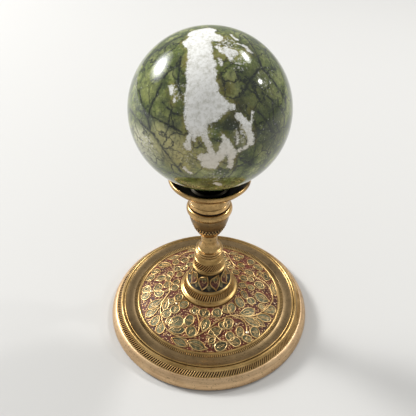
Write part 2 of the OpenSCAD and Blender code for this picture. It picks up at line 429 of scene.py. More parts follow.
def petalFinish():
    # dark red below, weathered green towards the top of each petal
    material, tree, shader, place = startMaterial("petalLacquer")
    height = addNode(tree, "SeparateXYZ", {0: place}).outputs[2]
    mottle = noise(tree, place, 700.0, 4.0, 0.7)
    edge = calc(tree, "ADD", calc(tree, "MULTIPLY", height, 1 / mm), calc(tree, "MULTIPLY", mottle, 2.0))
    top = spread(tree, edge, *petalTurnsGreen)
    red = ramp(tree, mottle, (0.35, paint(44, 22, 20)), (0.55, paint(96, 52, 42)),
               (0.72, paint(196, 156, 112)))
    green = ramp(tree, mottle, (0.35, paint(70, 76, 56)), (0.7, paint(138, 138, 96)))
    wire(tree, shader.inputs["Base Color"], mixed(tree, top, red, green))
    shader.inputs["Metallic"].default_value = 0.35
    shader.inputs["Roughness"].default_value = 0.4
    bumpy(tree, shader, mottle, 0.1)
    return material


def steelFinish():
    material, tree, shader, place = startMaterial("zincSteel")
    brushed = noise(tree, vectorCalc(tree, "MULTIPLY", place, (1, 1, 8)), 300.0, 4.0)
    spangle = addNode(tree, "TexVoronoi", {"Vector": place, "Scale": 700.0})
    grey = ramp(tree, brushed, (0.3, paint(150, 152, 154)), (0.7, paint(190, 192, 194)))
    wire(tree, shader.inputs["Base Color"], mixed(tree, 0.25, grey, spangle.outputs["Color"], "SOFT_LIGHT"))
    shader.inputs["Metallic"].default_value = 1.0
    wire(tree, shader.inputs["Roughness"], ramp(tree, brushed, (0.3, 0.28), (0.7, 0.45)))
    bumpy(tree, shader, brushed, 0.02)
    return material


def feltFinish():
    material, tree, shader, place = startMaterial("greenFelt")
    fibres = noise(tree, place, 2200.0, 5.0, 0.8, Distortion=1.5)
    tufts = noise(tree, place, 300.0, 4.0)
    green = ramp(tree, fibres, (0.3, paint(38, 54, 42)), (0.7, paint(66, 88, 68)))
    matted = ramp(tree, tufts, (0.3, 0.0), (0.7, 0.6))
    wire(tree, shader.inputs["Base Color"], mixed(tree, matted, green, paint(52, 66, 50)))
    shader.inputs["Roughness"].default_value = 0.95
    shader.inputs["Sheen Weight"].default_value = 0.4
    bumpy(tree, shader, fibres, 0.15)
    return material


def leatherFinish():
    material, tree, shader, place = startMaterial("brownLeather")
    pebbles = addNode(tree, "TexVoronoi", {"Vector": place, "Scale": 1600.0}, feature="SMOOTH_F1")
    rubbed = noise(tree, place, 240.0, 4.0)
    brown = ramp(tree, rubbed, (0.3, paint(74, 46, 30)), (0.7, paint(112, 76, 50)))
    wire(tree, shader.inputs["Base Color"], brown)
    wire(tree, shader.inputs["Roughness"], ramp(tree, rubbed, (0.3, 0.5), (0.7, 0.7)))
    bumpy(tree, shader, pebbles.outputs["Distance"], 0.08)
    return material


redLacquer = stippledLacquer()
dulledLeaf = leafFinish()
petalLacquer = petalFinish()
zincSteel = steelFinish()
greenFelt = feltFinish()
brownLeather = leatherFinish()
print("metal, lacquer, felt and leather finishes made")


# the stone's markings are strokes on the face that looks at the viewer
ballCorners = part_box("stone_ball")
ballCentre = (ballCorners[0] + ballCorners[1]) / 2
ballRadius = round((ballCorners[1].z - ballCorners[0].z) / 2 / mm, 1)

stoneFace = {
    "tilt": 28.4,  # degrees that the marked face looks up
    # lace is scattered white grains: middle, reach in mm, how dense
    "lace": [
        ((7, 28), 7, 0.75), ((12, 21), 7, 0.6), ((14, -10), 6, 0.75), ((-28, -15), 9, 0.6),
        ((-14, 7), 5, 0.55), ((-9, -20), 8, 0.4), ((0, -9), 6, 0.5), ((24, 12), 8, 0.35), ((3, -30), 8, 0.5),
    ],
    # strokes run from (right, up) to (right, up) in mm with a half width in mm
    "patches": [
        ((-7, 33.5), (-1, 35), 3.2), ((-8, 29), (-3, 30), 4.2), ((-2, 33), (3, 31), 2.6),
        ((-4.5, 26), (-4, 18), 5.4), ((-4, 18), (-3.5, 8), 6.4), ((-3.5, 8), (-4, 0), 7.2),
        ((-1, 5), (4, 1), 4.0), ((3, 2.5), (9, 1), 1.6), ((-5.5, -1), (-5.5, -7), 4.6),
        ((-2, -3), (1.5, -2), 3.4), ((-8, -9), (-9.5, -15.5), 1.1), ((-6, -10), (-6.5, -13), 0.9),
        ((-10.5, -15), (-9, -17), 1.1), ((-2.5, -11), (1, -19), 1.3), ((-3, -21), (4, -21), 2.2),
        ((-1.5, -23.5), (1.5, -24), 2.4), ((4.5, -20), (7, -14), 2.0), ((7, -15), (9.5, -19.5), 2.2),
        ((9.3, -20), (8.8, -25), 1.4), ((5.5, -11.5), (7, -14), 0.9), ((12, -3), (16.5, -7.5), 1.6),
        ((16, -7), (17.5, -14), 1.7), ((18, -1), (17.3, -6), 0.7), ((12.5, -17.5), (16.5, -15.5), 0.9),
        ((7, 25), (10, 24), 1.7), ((7.5, 23), (8.5, 21.5), 1.2), ((3, 26.5), (5.5, 24), 1.0),
        ((4, 21), (4.5, 18.5), 0.8), ((8.5, 33), (11.5, 30.5), 0.7), ((12, 28.5), (14.5, 27.5), 0.6),
        ((15, 27.5), (17.5, 24.5), 0.8), ((-16.5, 9), (-16.5, 7), 1.1), ((-15, 5), (-15.2, 3), 0.5),
        ((2.5, -33.5), (5, -34.5), 1.1), ((-11, -26), (-8.5, -28.5), 0.9), ((11.5, -11), (11.5, -15), 0.5),
    ],
    # veins are dark strokes, with a half width in mm
    "veins": [
        ((-34, 15), (-31, 6), 0.3), ((-31, 6), (-27.5, -4), 0.4), ((-27.5, -4), (-26, -9), 0.35),
        ((-36.5, 0), (-32, -5), 0.35), ((-32, -5), (-24.5, -11), 0.45), ((-24.5, -11), (-19, -19), 0.35),
        ((-19, -19), (-12.5, -28), 0.3), ((-13, 19), (-19, 14), 0.4), ((-19, 14), (-24, 4), 0.45),
        ((-24, 4), (-27, -4), 0.4), ((-20.5, 3), (-15, -2), 0.3), ((-15, -2), (-12, -2.5), 0.25),
        ((-26, -3), (-18, -6.5), 0.25), ((-18, -6.5), (-12, -10), 0.3), ((-12.5, 22), (-13.5, 12), 0.35),
        ((-13.5, 12), (-12, 4), 0.3), ((-30, 22), (-22, 27), 0.3), ((-22, 27), (-13, 32), 0.35),
        ((15, 33), (19, 27), 0.35), ((19, 27), (22, 18), 0.35), ((22, 18), (28, 12), 0.4),
        ((28, 12), (34, 3), 0.35), ((21, 17), (16.5, 12), 0.3), ((16.5, 12), (14, 6), 0.25),
        ((16.5, 12), (13, 16), 0.2), ((22, 7), (27, 4), 0.25), ((27, 4), (27.5, -5), 0.3),
        ((27.5, -5), (31, -10), 0.3), ((19, 1), (23, -4), 0.3), ((23, -4), (28, -10), 0.3),
        ((19, -5), (20, -14), 0.25), ((20, -14), (18, -25), 0.3), ((11, -12), (11.5, -24), 0.3),
        ((-7, 33), (5, 20), 0.12), ((9, -1), (14, -4), 0.15), ((11, -24), (5, -31), 0.3),
    ],
    # clouds tint the green: middle (right, up), reach in mm, colour, strength
    "clouds": [
        ((-27, 8), 8, paint(150, 156, 88), 0.7), ((-13, -20), 14, paint(192, 182, 114), 0.9),
        ((-30, -16), 13, paint(212, 210, 182), 0.85), ((9, -6), 7, paint(34, 40, 18), 0.9),
        ((13, 2), 6, paint(36, 40, 20), 0.85), ((7, 9), 5, paint(104, 92, 34), 0.7),
        ((22, 8), 12, paint(104, 106, 56), 0.6), ((20, 24), 8, paint(96, 104, 56), 0.5),
        ((7, 29), 7, paint(128, 124, 62), 0.7), ((-12, 20), 4, paint(128, 126, 58), 0.7),
        ((-16, -8), 7, paint(106, 112, 50), 0.7), ((28, -12), 13, paint(84, 88, 62), 0.6),
        ((0, -33), 8, paint(122, 112, 50), 0.6), ((-22, 26), 9, paint(98, 106, 62), 0.6),
        ((-18, 2), 7, paint(112, 120, 62), 0.5), ((2, -6), 3, paint(62, 66, 34), 0.8),
        ((-27, -5), 6, paint(70, 80, 58), 0.5), ((-20, -14), 12, paint(200, 196, 138), 0.8),
        ((17, 12), 9, paint(70, 78, 38), 0.5), ((-27, 12), 8, paint(160, 170, 104), 0.5),
        ((30, -2), 9, paint(64, 74, 46), 0.5), ((24, -8), 15, paint(62, 72, 36), 0.45),
        ((14.5, -12), 7, paint(176, 174, 138), 0.7), ((2, -21), 8, paint(186, 176, 132), 0.6),
    ],
    # nets are thin lines between cells: cells per mm, line, patches per mm, where the patches show
    "nets": [
        (0.12, ((0.01, 0.95), (0.075, 0.0)), 0.07, ((0.40, 0.0), (0.54, 1.0))),
        (0.33, ((0.01, 0.6), (0.09, 0.0)), 0.12, ((0.46, 0.0), (0.58, 1.0))),
    ],
    "deep": paint(66, 78, 40), "middle": paint(120, 134, 70), "light": paint(172, 178, 114),
    "grainDark": paint(70, 72, 70), "grainLight": paint(190, 188, 176), "smoke": paint(52, 66, 54),
    "vein": paint(22, 30, 26), "veinHalo": paint(58, 68, 46), "stain": paint(138, 122, 48),
    "white": paint(248, 248, 244), "greyWhite": paint(206, 205, 194), "shadedLowWhite": paint(206, 194, 172),
}


def facePoint(spot):
    right, up = spot
    depth = math.sqrt(max(ballRadius ** 2 - right ** 2 - up ** 2, 0))
    return Vector((right, -depth, up))


def strokeGroup():
    # keeps the smaller of the distance so far and the distance to one more stroke's edge
    group = bpy.data.node_groups.new("strokeDistance", "ShaderNodeTree")
    for name, kind in (("Place", "Vector"), ("Start", "Vector"), ("Along", "Vector"),
                       ("Share", "Float"), ("Half", "Float"), ("Before", "Float"), ("Blend", "Float")):
        group.interface.new_socket(name, in_out="INPUT", socket_type="NodeSocket" + kind)
    group.interface.new_socket("Distance", in_out="OUTPUT", socket_type="NodeSocketFloat")
    entry = group.nodes.new("NodeGroupInput").outputs
    # the negligible share of the distance so far makes the strokes follow one after the other
    tiny = 1e-7
    place = vectorCalc(group, "MULTIPLY_ADD", entry["Before"], (tiny, tiny, tiny), entry["Place"])
    offset = vectorCalc(group, "SUBTRACT", place, entry["Start"])
    run = vectorCalc(group, "DOT_PRODUCT", offset, entry["Along"]).outputs[1]
    share = calc(group, "MULTIPLY", run, entry["Share"], clamp=True)
    nearest = vectorCalc(group, "MULTIPLY", entry["Along"], share)
    gap = vectorCalc(group, "DISTANCE", offset, nearest).outputs[1]
    edge = calc(group, "SUBTRACT", gap, entry["Half"])
    leave = group.nodes.new("NodeGroupOutput")
    wire(group, leave.inputs[0], calc(group, "SMOOTH_MIN", entry["Before"], edge, entry["Blend"]))
    return group


def strokesDistance(tree, group, place, strokes, blendWidth):
    nearest = 50.0
    for start, end, half in strokes:
        first, last = facePoint(start), facePoint(end)
        along = last - first
        one = addNode(tree, "Group", node_tree=group)
        for name, value in (("Place", place), ("Start", first), ("Along", along), ("Before", nearest),
                            ("Share", 1 / along.length_squared), ("Half", half), ("Blend", blendWidth)):
            wire(tree, one.inputs[name], value)
        nearest = one
    return nearest


def ragged(tree, place, *waves):
    # shifts a place by noise: each wave is (scale per mm, reach in mm)
    for scale, reach in waves:
        wave = noise(tree, place, scale, 3.0).outputs["Color"]
        shift = vectorCalc(tree, "SUBTRACT", wave, (0.5, 0.5, 0.5))
        place = vectorCalc(tree, "MULTIPLY_ADD", shift, (reach, reach, reach), place)
    return place


def nearSpot(tree, place, spot, reach, inner, outer, strength, way="LINEAR"):
    # full strength within inner times the reach, and nothing past outer times it
    gap = vectorCalc(tree, "DISTANCE", place, facePoint(spot)).outputs[1]
    return spread(tree, gap, reach * inner, reach * outer, strength, 0.0, interpolation_type=way)


def greenGround(tree, soft, mottle, fine):
    # clouds tint the green, and fine grain and smoky bands go over it
    green = ramp(tree, mottle, (0.36, stoneFace["deep"]), (0.5, stoneFace["middle"]),
                 (0.61, stoneFace["light"]))
    for spot, reach, colour, strength in stoneFace["clouds"]:
        cloud = nearSpot(tree, soft, spot, reach, 0.25, 1.15, strength, "SMOOTHSTEP")
        green = mixed(tree, cloud, green, colour)
    grain = ramp(tree, fine, (0.34, stoneFace["grainDark"]), (0.66, stoneFace["grainLight"]))
    green = mixed(tree, 0.55, green, grain, "OVERLAY")
    smoke = ramp(tree, noise(tree, soft, 0.1, 7.0, 0.72, Distortion=1.2), (0.50, 0.0), (0.64, 0.6))
    return mixed(tree, smoke, green, stoneFace["smoke"])


def darkVeins(tree, group, face, green):
    # two nets of thin lines, each in places only, and the listed veins drawn with a dim halo
    wandering = ragged(tree, face, (0.14, 7.0), (0.5, 2.2), (1.8, 0.6))
    lines = 0.0
    for cells, line, patches, shown in stoneFace["nets"]:
        net = addNode(tree, "TexVoronoi", {"Vector": wandering, "Scale": cells}, feature="DISTANCE_TO_EDGE")
        present = ramp(tree, noise(tree, face, patches, 4.0), *shown)
        netLines = calc(tree, "MULTIPLY", ramp(tree, net, *line), present)
        lines = calc(tree, "MAXIMUM", lines, netLines)
    wavering = ragged(tree, face, (0.2, 2.6), (0.6, 1.6), (2.0, 0.7))
    drawn = strokesDistance(tree, group, wavering, stoneFace["veins"], 0.1)
    green = mixed(tree, eased(tree, drawn, 0.0, 3.6, 0.4, 0.0), green, stoneFace["veinHalo"])
    lines = calc(tree, "MAXIMUM", lines, eased(tree, drawn, -0.15, 0.7, 0.95, 0.0), clamp=True)
    return mixed(tree, lines, green, stoneFace["vein"])


def scatteredGrains(tree, face, soft):
    # white grains that gather round the lace spots
    lacy = 0.0
    for spot, reach, dense in stoneFace["lace"]:
        lacy = calc(tree, "MAXIMUM", nearSpot(tree, soft, spot, reach, 0.3, 1.1, dense), lacy)
    grains = noise(tree, face, 0.9, 7.0, 0.72)
    lacy = calc(tree, "ADD", calc(tree, "MULTIPLY", lacy, 0.2), grains)
    return ramp(tree, lacy, (0.63, 0.0), (0.70, 0.75))


def whitePatches(tree, group, face, soft, mottle, green):
    # ragged patches with specks of green near their edges and a yellow stain round them
    torn = ragged(tree, face, (0.3, 2.6), (0.9, 2.2), (2.6, 1.1))
    edge = strokesDistance(tree, group, torn, stoneFace["patches"], 0.9)
    faceParts = addNode(tree, "SeparateXYZ", {0: face}).outputs
    behind = spread(tree, faceParts[1], -4.0, 8.0)
    blots = noise(tree, ragged(tree, face, (0.5, 3.0)), 0.045, 6.0, 0.62)
    elsewhere = calc(tree, "MULTIPLY", ramp(tree, blots, (0.60, 0.0), (0.615, 1.0)), behind)
    patch = calc(tree, "MAXIMUM", spread(tree, edge, -0.25, 0.3, 1.0, 0.0), elsewhere, clamp=True)
    specks = ramp(tree, noise(tree, face, 1.6, 4.0, 0.75), (0.40, 1.0), (0.47, 0.0))
    holes = calc(tree, "MULTIPLY", specks, spread(tree, edge, -1.6, 0.2))
    patch = calc(tree, "MULTIPLY", patch, calc(tree, "SUBTRACT", 1.0, holes))
    patch = calc(tree, "MAXIMUM", patch, scatteredGrains(tree, face, soft))
    fringe = calc(tree, "MULTIPLY", spread(tree, edge, 0.2, 2.4, 0.55, 0.0),
                  ramp(tree, mottle, (0.4, 0.0), (0.6, 1.0)))
    green = mixed(tree, fringe, green, stoneFace["stain"])
    clean = noise(tree, face, 0.5, 8.0, 0.75)
    white = ramp(tree, clean, (0.36, stoneFace["greyWhite"]), (0.56, stoneFace["white"]))
    # painted shade: the whites turn darker and creamier towards the bottom of the ball, which is lit from
    # above
    low = spread(tree, faceParts[2], -6.0, -22.0, 0.0, 0.65)
    white = mixed(tree, low, white, stoneFace["shadedLowWhite"])
    return mixed(tree, patch, green, white)


def stoneFinish():
    material, tree, shader, place = startMaterial("greenStone")
    group = strokeGroup()
    turned = addNode(tree, "VectorRotate", {"Vector": place, "Center": ballCentre,
                                            "Angle": math.radians(stoneFace["tilt"])}, rotation_type="X_AXIS")
    face = scaled(tree, vectorCalc(tree, "SUBTRACT", turned, ballCentre), 1 / mm)
    soft = ragged(tree, face, (0.16, 6.0), (0.6, 2.4))
    mottle = noise(tree, soft, 0.15, 9.0, 0.68)
    fine = noise(tree, face, 0.8, 8.0, 0.75)
    green = darkVeins(tree, group, face, greenGround(tree, soft, mottle, fine))
    wire(tree, shader.inputs["Base Color"], whitePatches(tree, group, face, soft, mottle, green))
    wire(tree, shader.inputs["Roughness"], ramp(tree, fine, (0.3, 0.05), (0.7, 0.1)))
    shader.inputs["IOR"].default_value = 1.57
    bumpy(tree, shader, noise(tree, face, 0.35, 3.0), 0.006)
    return material


ballCuts = 79  # across each side of the cube that the ball is blown up from


def makeBall():
    # a ball made from a cube has no poles
    bpy.ops.object.select_all(action="DESELECT")
    bpy.ops.mesh.primitive_cube_add(size=ballRadius * mm, location=ballCentre)
    ball = called("polishedStone")
    bpy.ops.object.mode_set(mode="EDIT")
    bpy.ops.mesh.select_all(action="SELECT")
    bpy.ops.mesh.subdivide(number_cuts=ballCuts)
    bpy.ops.object.mode_set(mode="OBJECT")
    applyModifier(ball, "CAST", factor=1.0, radius=ballRadius * mm, use_radius_as_size=True)
    applyPlace(ball)
    smooth(ball)
    dress(ball, stoneFinish())
    hand(ball, "ball", "stone", "stone_ball")


makeBall()
print("stone ball made")


underside = {"radius": 54.8, "felt": 1.5, "soft": 0.4}


def makeUnderside():
    radius, thick, soft = underside["radius"], underside["felt"], underside["soft"]
    outline = [(0, 0)] + arcPoints((radius - soft, soft), soft, soft, -90, 0, 4)
    outline += [(radius, thick), (0, thick)]
    felt = turnOnLathe("gluedFelt", outline, 128, 0)
    dress(felt, greenFelt)
    hand(felt, "stand", "felt", "felt_pad")
    dress(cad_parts["backing_board"], greyBoard)


makeUnderside()


base = {
    "hoopFoot": [(55.0, 0.7), (59.7, 0.7)], "hoopSide": ((60.0, 1.1), (57.0, 7.0)), "hoopBulge": 0.9,
    "hoopInside": [(53.6, 7.0), (53.6, 2.7), (55.0, 2.7)],
    "roll": ((53.1, 9.6), 1.0), "bead": ((51.5, 10.0), 0.5), "innerBead": ((43.15, 9.8), 0.75, 0.5),
    "channel": ((51, 10), (45.8, 9.8)), "channelDip": 0.4, "tickGround": [(45.7, 9.65), (44.0, 9.65)],
    "ticksAt": ((45.6, 9.78), (44.1, 9.78)), "ticks": 245, "tickWidth": 0.55, "tickDepth": 0.2,
    "hatchLow": (56.6, 7.0), "hatchHigh": (54.15, 9.55), "hatchLip": 0.45, "sunk": 0.45,
    "hatchBars": 250, "hatchWidth": 0.62, "hatchSlant": 2.2, "proud": 0.1,
    "fieldOut": (42.4, 9.8), "fieldIn": (17.7, 17.6), "crown": 0.8, "inlay": 0.6, "wall": 2.2,
    "seatForBoss": [(17.45, 17.6), (17.45, 17), (9.1, 17), (9.1, 15), (17.7, 15)], "underEdge": (50, 7.3),
    # where the other finishes are: depth and margin in the cuts, then radii and heights
    "grimeAndShadeIn": (0.29, 0.05), "channelFaces": ((45.75, 50.9), (0, 9.95)),
    "tickFaces": ((44.05, 45.75), (0, 9.7)),
}


def sunkBand(low, high, lip, depth):
    # the outline of a flat-bottomed band between two lips, on a slope that rises inwards
    length = math.dist(low, high)
    along = ((high[0] - low[0]) / length, (high[1] - low[1]) / length)
    inward = (-along[1], along[0])

    def at(run, sink):
        return (low[0] + along[0] * run + inward[0] * sink, low[1] + along[1] * run + inward[1] * sink)
    return [low, at(lip, 0), at(lip, depth), at(length - lip, depth), at(length - lip, 0), high]


def fieldLine(drop, steps=24):
    start, end = [(radius, height - drop) for radius, height in (base["fieldOut"], base["fieldIn"])]
    return bowedPoints(start, end, base["crown"], steps)


def makeHoop():
    outline = base["hoopFoot"] + bowedPoints(*base["hoopSide"], base["hoopBulge"]) + base["hoopInside"]
    hoop = turnOnLathe("rimHoop", outline, 224, 0.14)
    dress(hoop, satinBrass)
    hand(hoop, "stand", "brass", "rim_hoop")


def makeDome():
    low, high = base["hatchLow"], base["hatchHigh"]
    outline = base["hoopInside"][:1] + sunkBand(low, high, base["hatchLip"], base["sunk"])
    for name, steps in (("roll", 10), ("bead", 6)):
        centre, radius = base[name]
        outline += arcPoints(centre, radius, radius, 0, 180, steps)
    outline += bowedPoints(*base["channel"], -base["channelDip"])
    outline += base["tickGround"]
    outline += arcPoints(*base["innerBead"], 0, 180, 8)
    outline += fieldLine(base["inlay"])
    outline += [base["fieldIn"]] + base["seatForBoss"]
    outline += fieldLine(base["wall"])[::-1]
    outline += [base["underEdge"]]
    dome = turnOnLathe("engravedDome", outline, 224, 0.08)
    dress(dome, ringBrass, grimeAndShadeFloor, channelBrass, shadedTickBrass)
    # painted shade with grime: the floor of the hatched band takes the near-black finish
    finishFaces(dome, 1, inCut(low, high, *base["grimeAndShadeIn"]))
    finishFaces(dome, 2, within(*base["channelFaces"]))
    # painted shade: the ground between the punched ticks takes the darker brass
    finishFaces(dome, 3, within(*base["tickFaces"]))
    hand(dome, "stand", "brass", "base_dome")
    bars = cutBars("hatchedBand", low, high, base["hatchBars"], base["hatchWidth"],
                   base["sunk"] + base["proud"], base["hatchSlant"])
    dress(bars, cutBrass)
    hand(bars, "stand", "brass")
    ticks = cutBars("punchedTicks", *base["ticksAt"], base["ticks"], base["tickWidth"], base["tickDepth"])
    dress(ticks, ringBrass)
    hand(ticks, "stand", "brass")


def makeField():
    ground = turnOnLathe("lacquerGround", fieldLine(0, 40) + fieldLine(base["inlay"])[::-1], 160, 0)
    dress(ground, redLacquer)
    hand(ground, "stand", "red_lacquer", "field_lacquer")


makeHoop()
makeDome()
makeField()
print("base turned and cut")


# a leaf is four points, one long from root to tip and one wide
leafShapes = {
    "petal": (((0, 0), "AUTO"), ((0.56, 0.5), "AUTO"), ((1, 0), "AUTO"), ((0.56, -0.5), "AUTO")),
    "leaf": (((0, 0), "VECTOR"), ((0.5, 0.5), "AUTO"), ((1, 0), "VECTOR"), ((0.5, -0.5), "AUTO")),
    "spoon": (((0, 0), "VECTOR"), ((0.66, 0.5), "AUTO"), ((1, 0.06), "AUTO"), ((0.64, -0.5), "AUTO")),
    "bud": (((0, 0), "VECTOR"), ((0.38, 0.5), "AUTO"), ((1, 0.38), "VECTOR"), ((0.5, -0.5), "AUTO")),
    "hookLeft": (((0, 0), "VECTOR"), ((0.5, 0.62), "AUTO"), ((1, 0.16), "AUTO"), ((0.66, -0.38), "AUTO")),
    "hookRight": (((0, 0), "VECTOR"), ((0.5, 0.38), "AUTO"), ((1, -0.16), "AUTO"), ((0.66, -0.62), "AUTO")),
}

vine = {
    # half widths of the wires, heights over the field, and the middle line's size against its leaf
    "line": 0.36, "loop": 0.18, "stem": 0.42, "plateLift": 0.12, "wireLift": 0.1, "border": 0.4,
    "ribWidth": 0.28, "ribLength": 0.62, "drawnAt": 30,
    # places are (radius in mm, degrees to the right of the front)
    # shape, root place, tip place, width in mm, size of the loop inside it
    "leaves": [
        # flower and leaves left of the front
        ("petal", (22.3, -58), (18.6, -67), 5.2, 0), ("petal", (22.2, -52), (19.6, -38), 5.4, 0),
        ("petal", (24.2, -53), (28.3, -46), 5.6, 0), ("petal", (24, -58), (26, -66), 4.0, 0),
        ("spoon", (26, -71), (31, -57.5), 3.6, 0), ("hookLeft", (33.3, -57.5), (30.6, -47.5), 5.6, 0.4),
        ("petal", (34.6, -46), (32.2, -41), 3.8, 0.4), ("hookRight", (35.6, -40.5), (27.4, -35), 7.6, 0),
        ("hookRight", (37.2, -38.5), (32.6, -24.5), 4.4, 0.45), ("petal", (27.4, -18.5), (27.6, -30), 6.6, 0),
        ("petal", (30.6, -15), (35.4, -20), 6.4, 0), ("leaf", (23.4, -20), (18.6, -27), 5.4, 0.5),
        ("petal", (23.6, -9.5), (18.9, -4.5), 6.6, 0), ("spoon", (32, -6.5), (24.8, -1.5), 5.4, 0),
        ("spoon", (28.6, -71.5), (38.6, -70.5), 5.4, 0), ("spoon", (32, -65), (41.4, -64.5), 5.2, 0),
        ("spoon", (34.6, -56.5), (41.5, -53.5), 5.2, 0), ("spoon", (35.6, -50), (41.6, -43), 5.2, 0),
        ("leaf", (39.8, -32), (40.8, -16.5), 4.0, 0), ("leaf", (38.4, -18.5), (41, -1.5), 5.0, 0),
        # flower at the left edge
        ("petal", (36.4, -87), (41.4, -83.5), 5.8, 0), ("petal", (36.6, -91), (41.4, -95), 5.4, 0.45),
        ("petal", (34, -90.5), (28.8, -93.5), 6.2, 0.45), ("hookRight", (33.8, -87), (27.8, -80.5), 4.8, 0.4),
        # left and behind
        ("spoon", (31.5, -130), (41, -126.5), 4.8, 0), ("spoon", (34.5, -117), (41.4, -116.5), 5.2, 0),
        ("petal", (36.6, -106), (41.4, -109), 5.8, 0.5), ("hookLeft", (34.6, -103.5), (28.6, -108), 5.2, 0),
        ("petal", (28.2, -112), (26.6, -119), 4.2, 0), ("petal", (27.8, -103), (26.2, -110), 4.4, 0),
        ("petal", (27.6, -91), (23.8, -99), 4.8, 0), ("petal", (22, -94), (19, -103), 4.2, 0),
        ("petal", (23.2, -84.5), (18.8, -88), 4.8, 0), ("leaf", (35.4, -148), (40.8, -137), 4.8, 0),
        ("petal", (31.2, -144), (27.2, -151), 5.6, 0.4), ("hookLeft", (29, -133), (33.6, -141), 4.4, 0),
        ("petal", (24, -122), (27, -131), 4.4, 0), ("petal", (20.6, -143), (24.2, -150), 4.8, 0),
        ("petal", (29, -158), (33.6, -160), 5.2, 0), ("leaf", (22.2, -112), (19, -124), 4.0, 0),
        ("petal", (24.2, -136), (20, -131), 4.4, 0), ("spoon", (37.2, -158), (41.2, -165), 4.6, 0),
        ("spoon", (33, -168), (27, -174), 5.0, 0), ("petal", (25, -164), (20.4, -168), 5.0, 0.4),
        # right of the front
        ("petal", (23.6, 17), (19.2, 8), 5.8, 0), ("leaf", (33.2, -1), (31, 14.5), 5.0, 0),
        ("leaf", (23.4, 28), (18.5, 30), 5.0, 0.5), ("petal", (23.6, 32), (19.4, 45), 4.8, 0),
        ("petal", (25.2, 51), (19.4, 61), 5.4, 0), ("petal", (24.4, 67), (20.4, 80), 3.8, 0.5),
        ("petal", (25.4, 71), (29, 65), 5.2, 0), ("spoon", (26.8, 41), (31.6, 58.5), 5.0, 0.4),
        ("spoon", (28.6, 41.5), (38.8, 49), 4.4, 0), ("leaf", (33, 50.5), (41.4, 52.5), 3.6, 0),
        ("spoon", (33.6, 54), (41.5, 62), 5.0, 0), ("spoon", (36, 63.5), (41.5, 74), 5.4, 0),
        ("petal", (32.6, 65), (35.2, 70.5), 3.8, 0.5), ("hookLeft", (37.6, 78), (28.6, 82), 6.6, 0),
        ("petal", (36.8, 33), (34.4, 27), 5.8, 0), ("petal", (38.2, 38.5), (41.3, 45), 6.2, 0),
        ("petal", (38.8, 34.5), (41.8, 31), 5.8, 0), ("hookRight", (25.6, 21.5), (31.2, 26), 6.6, 0.4),
        ("petal", (26.8, 16.5), (31.4, 16), 5.0, 0), ("petal", (38.2, 21), (33.6, 18), 5.0, 0),
        ("hookLeft", (38.8, 17), (41, 26), 5.0, 0), ("petal", (39, 15), (40.8, 5), 4.8, 0),
        ("leaf", (37.8, -0.5), (35.2, 6.5), 3.4, 0),
        # right and behind
        ("leaf", (41, 87), (40.8, 103), 3.6, 0), ("leaf", (37, 104), (41, 116.5), 6.2, 0.45),
        ("spoon", (31.2, 110), (27.4, 123), 5.0, 0), ("petal", (34.6, 111), (37.6, 117), 4.4, 0.5),
        ("petal", (33.4, 101), (30, 92), 6.0, 0.5), ("petal", (36.2, 121.5), (41.2, 126), 6.2, 0.5),
        ("spoon", (34, 130), (41, 136), 4.6, 0), ("petal", (26.8, 86), (24.8, 94), 4.6, 0),
        ("petal", (22.4, 88), (19, 97), 4.6, 0.4), ("petal", (24.8, 104), (21, 112), 5.2, 0),
        ("petal", (28, 102), (26, 110), 4.0, 0), ("petal", (22, 120), (19, 130), 4.6, 0),
        ("petal", (26.8, 131), (30.8, 137), 4.4, 0.4), ("petal", (31, 143), (34.6, 149), 4.4, 0),
        ("petal", (35.6, 144), (39.6, 148), 4.4, 0.5), ("leaf", (35, 158), (40.6, 151), 4.6, 0),
        ("petal", (23.4, 136), (20, 143), 4.6, 0), ("petal", (25.2, 148), (21, 153), 4.8, 0),
        ("spoon", (29.4, 152), (26, 163), 4.4, 0), ("petal", (32.4, 160), (30, 168), 4.6, 0),
        ("spoon", (38.6, 166), (34, 177), 5.0, 0), ("petal", (24, 166), (20, 173), 4.6, 0.4),
        ("leaf", (24.6, 180), (31, 180), 4.6, 0),
    ],
    "stems": [
        [(24, -80), (27.4, -72.5), (30.2, -67.5), (33, -60), (34.6, -53), (36.4, -46), (37.6, -38),
         (37.8, -30), (36.8, -21), (35, -13), (32.4, -6), (30, 0), (26.8, 9), (25.4, 19), (25, 27),
         (27, 38), (31, 47), (33.4, 54.5), (35.6, 64), (38.2, 75), (39.2, 84), (38.6, 92), (37, 99),
         (34, 104.5), (30.6, 109), (27.2, 116), (25.4, 127), (25, 138), (27, 147), (31, 155), (36, 162),
         (38.6, 171), (39, 180)],
        [(24, -80), (24.3, -90), (24.8, -100), (24.6, -110), (25, -118), (27.4, -126), (31.5, -135),
         (35, -144), (38, -154), (39, -167), (39, -180)],
        [(22.6, -18), (25, -14), (28.4, -11), (32.4, -10.5), (35, -12.5)],
        [(25, 30), (28.4, 36.5), (31.6, 39.5), (35, 38.4), (37, 36)],
        [(33, -60), (31.4, -65.5), (28.4, -71.5), (24.4, -79)],
        [(36.6, -88.5), (33.5, -88), (29, -84.5), (24.4, -82)],
        [(38.4, 19.5), (37.6, 12), (35.4, 8), (31.4, 3), (29.8, 0.5)],
        [(30.6, 109), (33.6, 113), (37.4, 119)],
        [(24.4, 31), (22, 29)],
    ],
    "dots": [((23.2, -55), 1.0), ((37.6, 35.8), 1.1), ((35.4, -88.8), 1.1), ((39.4, -35.5), 0.5),
             ((22.4, -22), 0.5), ((30.8, 31), 0.5), ((30, 74), 0.5), ((40.6, 79), 0.5), ((39.6, -76), 0.5)],
}


def fieldSpot(spot):
    radius, turn = spot
    turn = math.radians(turn)
    return Vector((radius * math.sin(turn) * mm, -radius * math.cos(turn) * mm, vine["drawnAt"] * mm))


